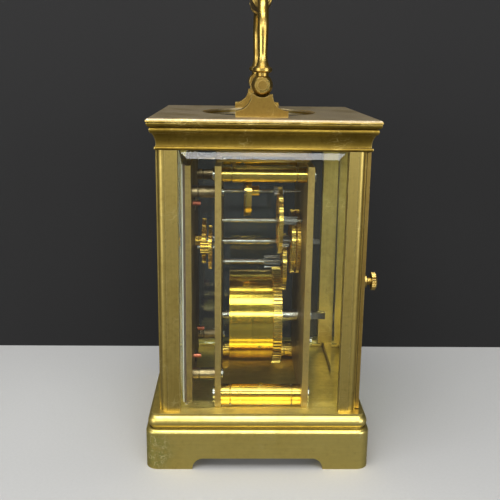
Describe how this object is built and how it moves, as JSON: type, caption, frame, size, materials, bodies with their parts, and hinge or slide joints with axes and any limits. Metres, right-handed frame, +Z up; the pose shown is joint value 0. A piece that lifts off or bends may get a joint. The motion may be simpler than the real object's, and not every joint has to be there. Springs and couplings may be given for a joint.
{
  "type": "mantel clock",
  "caption": "Glazed brass carriage-style mantel clock with a folding handle, back door, white dial and a visible spring-driven movement.",
  "frame": {"origin": "middle of the footprint, on the surface that the clock stands on", "axes": "+Z up, -Y out of the dial, +Y out of the back door, +X the clock's left-to-right direction seen from the front"},
  "size_m": [0.094, 0.0914, 0.1883],
  "materials": {
    "case_brass": "aged satin",
    "plate_brass": "matt grained",
    "polished_brass": "polished",
    "steel": "polished",
    "blued_steel": "blued",
    "enamel": "glossy white enamel",
    "copper": "copper, satin",
    "glass": "clear, bevelled edges"
  },
  "bodies": {
    "case": {"base_moulding": "case_brass", "cornice": "case_brass", "top_glass": "glass", "front_glass": "glass", "left_glass": "glass", "right_glass": "glass", "pillar_front_left": "case_brass", "pillar_front_right": "case_brass", "pillar_back_left": "case_brass", "pillar_back_right": "case_brass", "case_screws": "steel", "bracket_left": "case_brass", "bracket_right": "case_brass", "front_plate": "plate_brass", "back_plate": "plate_brass", "movement_pillars": "polished_brass", "movement_screws": "steel", "dial_plate": "plate_brass", "dial": "enamel", "dial_feet": "copper", "dial_posts": "plate_brass", "click_spring": "steel", "platform_plate": "plate_brass", "platform_screws": "steel", "platform_cocks": "plate_brass", "balance_cock": "plate_brass", "hairspring": "blued_steel"},
    "handle": {"handle_grip": "case_brass", "handle_arms": "case_brass"},
    "door": {"door_frame": "case_brass", "door_glass": "glass"},
    "door_knob": {"door_knob": "case_brass"},
    "hand_setting": {"centre_arbor": "steel", "cannon_pinion": "steel", "minute_hand": "blued_steel", "setting_wheel": "polished_brass"},
    "minute_wheel": {"minute_wheel": "polished_brass"},
    "hour_wheel": {"hour_wheel": "polished_brass", "hour_hand": "blued_steel"},
    "barrel": {"barrel_drum": "polished_brass", "barrel_cap": "polished_brass", "great_wheel": "polished_brass", "mainspring": "blued_steel"},
    "winding_arbor": {"winding_arbor": "steel", "ratchet_wheel": "steel"},
    "click": {"click": "steel"},
    "intermediate": {"intermediate_arbor": "steel", "intermediate_wheel": "polished_brass"},
    "centre_wheel": {"centre_wheel": "polished_brass", "centre_pinion": "steel"},
    "third": {"third_arbor": "steel", "third_wheel": "polished_brass"},
    "contrate": {"contrate_arbor": "steel", "contrate_wheel": "polished_brass"},
    "escape": {"escape_arbor": "steel", "escape_wheel": "steel"},
    "lever": {"lever": "steel"},
    "balance": {"balance": "polished_brass"},
    "regulator": {"regulator": "steel"}
  },
  "joints": [
    {"name": "handle_fold", "type": "hinge", "parent": "case", "child": "handle", "pos_m": [0, 0, 0.1518], "axis": [1, 0, 0], "range_deg": [-95, 95]},
    {"name": "door_swing", "type": "hinge", "parent": "case", "child": "door", "pos_m": [-0.039, 0.04045, 0.076], "axis": [0, 0, 1], "range_deg": [0, 120]},
    {"name": "knob_turn", "type": "hinge", "parent": "door", "child": "door_knob", "pos_m": [0.037, 0.04045, 0.0768], "axis": [0, 1, 0], "range_deg": [0, 90]},
    {"name": "hand_setting_turn", "type": "hinge", "parent": "case", "child": "hand_setting", "pos_m": [0, 0, 0.0842], "axis": [0, 1, 0], "continuous": true},
    {"name": "minute_wheel_turn", "type": "hinge", "parent": "case", "child": "minute_wheel", "pos_m": [0.012, 0, 0.0842], "axis": [0, 1, 0], "continuous": true},
    {"name": "hour_wheel_turn", "type": "hinge", "parent": "case", "child": "hour_wheel", "pos_m": [0, 0, 0.0842], "axis": [0, 1, 0], "continuous": true},
    {"name": "contrate_turn", "type": "hinge", "parent": "case", "child": "contrate", "pos_m": [-0.001, 0, 0.1062], "axis": [0, 1, 0], "continuous": true},
    {"name": "third_turn", "type": "hinge", "parent": "case", "child": "third", "pos_m": [0.01058, 0, 0.09564], "axis": [0, 1, 0], "continuous": true},
    {"name": "centre_wheel_turn", "type": "hinge", "parent": "case", "child": "centre_wheel", "pos_m": [0, 0, 0.0842], "axis": [0, 1, 0], "continuous": true},
    {"name": "intermediate_turn", "type": "hinge", "parent": "case", "child": "intermediate", "pos_m": [-0.0095, 0, 0.0723], "axis": [0, 1, 0], "continuous": true},
    {"name": "barrel_turn", "type": "hinge", "parent": "case", "child": "barrel", "pos_m": [0, 0, 0.05015], "axis": [0, 1, 0], "continuous": true},
    {"name": "escape_turn", "type": "hinge", "parent": "case", "child": "escape", "pos_m": [-0.001, -0.00662, 0.118], "axis": [0, 0, 1], "continuous": true},
    {"name": "winding_turn", "type": "hinge", "parent": "case", "child": "winding_arbor", "pos_m": [0, 0, 0.05015], "axis": [0, 1, 0], "continuous": true},
    {"name": "click_lift", "type": "hinge", "parent": "case", "child": "click", "pos_m": [0.0076, 0.022, 0.0406], "axis": [0, -1, 0], "range_deg": [0, 15], "stiffness_Nm_per_rad": 0.002},
    {"name": "lever_swing", "type": "hinge", "parent": "case", "child": "lever", "pos_m": [-0.001, -0.002, 0.124], "axis": [0, 0, 1], "range_deg": [-5.5, 5.5]},
    {"name": "balance_swing", "type": "hinge", "parent": "case", "child": "balance", "pos_m": [-0.001, 0.0052, 0.128], "axis": [0, 0, 1], "range_deg": [-145, 145]},
    {"name": "regulator_turn", "type": "hinge", "parent": "case", "child": "regulator", "pos_m": [-0.001, 0.0052, 0.1325], "axis": [0, 0, 1], "range_deg": [-25, 25]}
  ],
  "couplings": [
    {"joint": "third_turn", "follows": "contrate_turn", "ratio": -0.13333},
    {"joint": "centre_wheel_turn", "follows": "contrate_turn", "ratio": 0.016667},
    {"joint": "intermediate_turn", "follows": "contrate_turn", "ratio": -0.0033333},
    {"joint": "barrel_turn", "follows": "contrate_turn", "ratio": 0.00041667},
    {"joint": "escape_turn", "follows": "contrate_turn", "ratio": -10},
    {"joint": "minute_wheel_turn", "follows": "hand_setting_turn", "ratio": -0.33333},
    {"joint": "hour_wheel_turn", "follows": "hand_setting_turn", "ratio": 0.083333}
  ]
}
